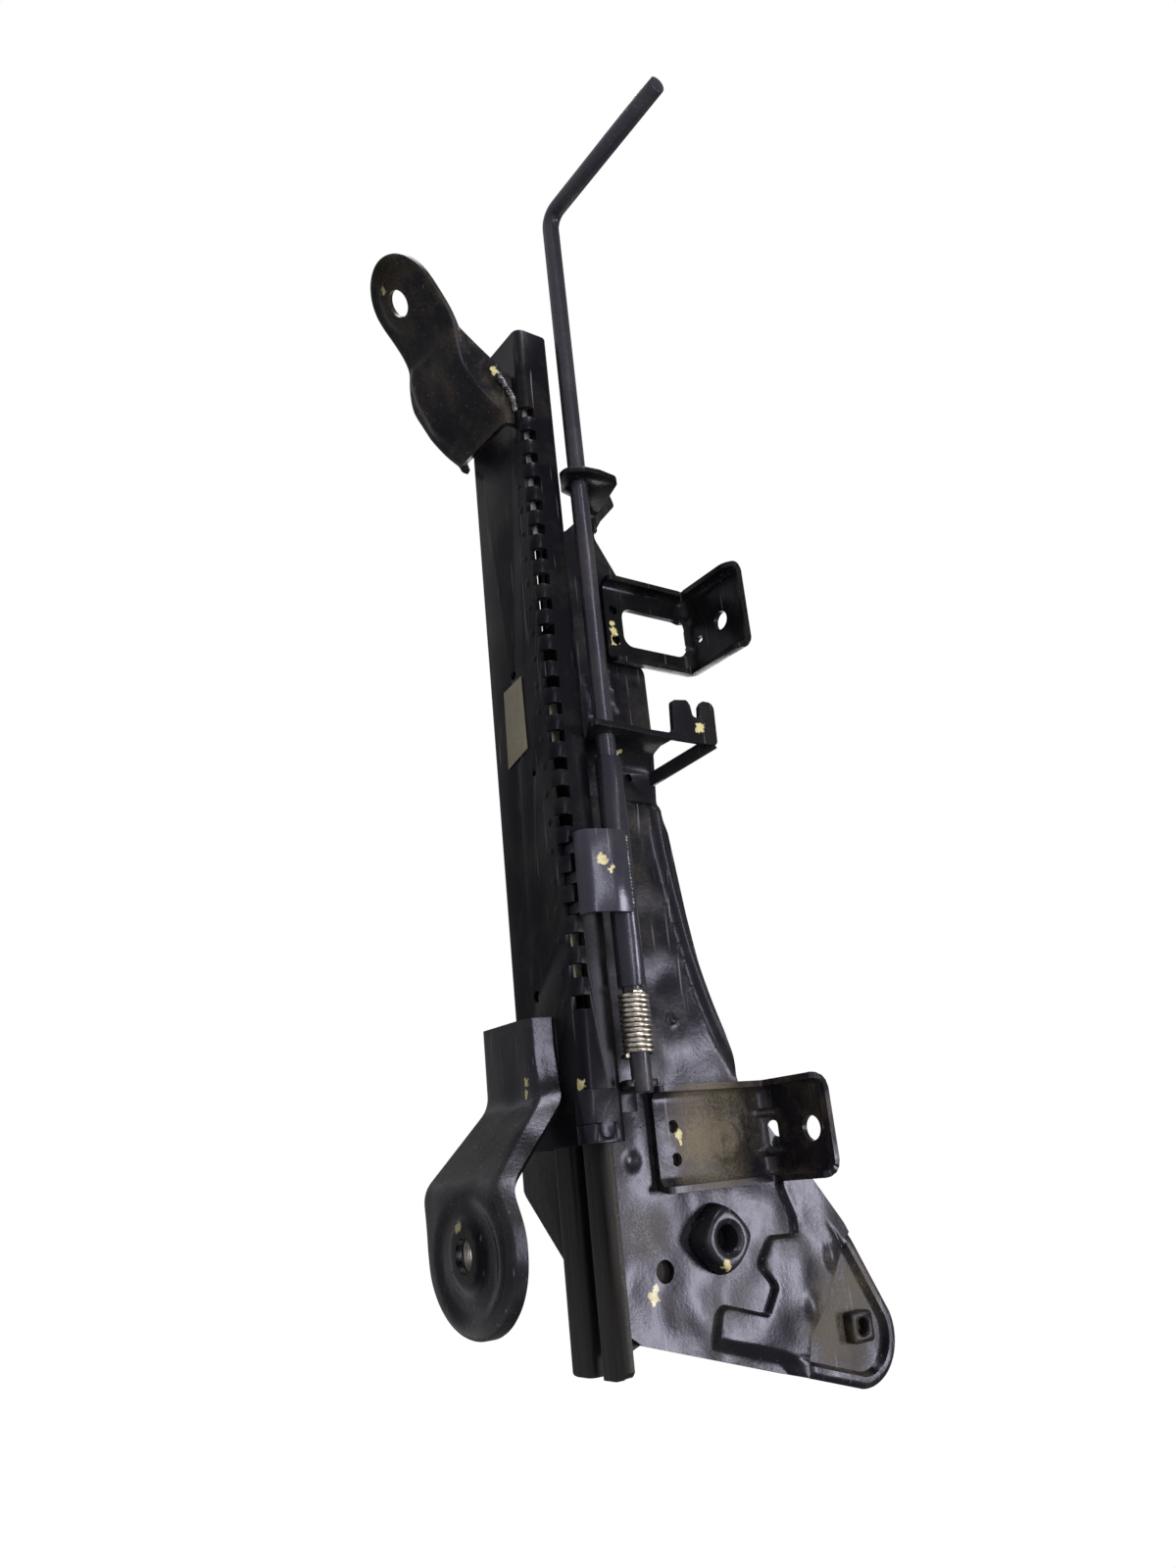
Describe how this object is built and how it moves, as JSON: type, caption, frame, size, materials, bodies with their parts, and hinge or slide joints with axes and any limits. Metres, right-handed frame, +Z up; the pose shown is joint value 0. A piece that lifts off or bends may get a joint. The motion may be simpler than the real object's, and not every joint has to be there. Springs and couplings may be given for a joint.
{
  "type": "seat slide rail",
  "caption": "Car seat slide rail: slotted floor rail on bolted feet, sliding rail with side plate and seat brackets, and a sprung release bar that frees the lock teeth.",
  "frame": {"origin": "centre of the rear floor bolt's hole, at the underside of the rear foot's pad", "axes": "+X along the rail towards the front of the seat, +Z up from the floor, +Y to the side that carries the release bar and the lock slots"},
  "size_m": [0.5388, 0.1711, 0.2141],
  "materials": {
    "floor_rail": "black dip paint, satin",
    "end_band_front": "black dip paint, satin",
    "end_band_rear": "black dip paint, satin",
    "front_foot": "black dip paint, satin",
    "rear_foot": "black dip paint, satin",
    "rear_pad_collar": "zinc-plated",
    "slider_rail": "greased and dusty",
    "side_plate": "black dip paint, satin",
    "front_seat_bracket": "black dip paint, satin",
    "rear_seat_bracket": "black dip paint under brown dust",
    "front_rod_tab": "black dip paint, satin",
    "middle_bracket": "black dip paint, satin",
    "rear_rod_tab": "black dip paint, satin",
    "inner_bracket": "greased and dusty",
    "recliner_boss": "black dip paint, satin",
    "lobe_nut": "black dip paint, satin",
    "release_rod": "black dip paint, satin",
    "lock_tube": "black dip paint, satin",
    "lock_plate": "black dip paint, satin",
    "torsion_spring": "bare spring wire",
    "slide_shoe_front_left": "natural acetal",
    "slide_shoe_front_right": "natural acetal",
    "slide_shoe_rear_left": "natural acetal",
    "slide_shoe_rear_right": "natural acetal",
    "blank_label": "paper film, blank"
  },
  "bodies": {
    "lower": {"floor_rail": "floor_rail", "front_foot": "front_foot", "rear_foot": "rear_foot", "rear_pad_collar": "rear_pad_collar", "end_band_front": "end_band_front", "end_band_rear": "end_band_rear", "blank_label": "blank_label"},
    "upper": {"slider_rail": "slider_rail", "side_plate": "side_plate", "front_seat_bracket": "front_seat_bracket", "rear_seat_bracket": "rear_seat_bracket", "middle_bracket": "middle_bracket", "front_rod_tab": "front_rod_tab", "rear_rod_tab": "rear_rod_tab", "inner_bracket": "inner_bracket", "recliner_boss": "recliner_boss", "lobe_nut": "lobe_nut", "slide_shoe_front_left": "slide_shoe_front_left", "slide_shoe_front_right": "slide_shoe_front_right", "slide_shoe_rear_left": "slide_shoe_rear_left", "slide_shoe_rear_right": "slide_shoe_rear_right"},
    "release": {"release_rod": "release_rod", "lock_tube": "lock_tube", "lock_plate": "lock_plate", "torsion_spring": "torsion_spring"}
  },
  "joints": [
    {"name": "track_slide", "type": "slide", "parent": "lower", "child": "upper", "axis": [1, 0, 0], "range_m": [-0.036, 0.18]},
    {"name": "release_bar_turn", "type": "hinge", "parent": "upper", "child": "release", "pos_m": [0.351, 0.0245, 0.0662], "axis": [1, 0, 0], "range_deg": [0, 20], "stiffness_Nm_per_rad": 1.2, "springref_deg": -34.38, "deforming": ["torsion_spring"]}
  ]
}
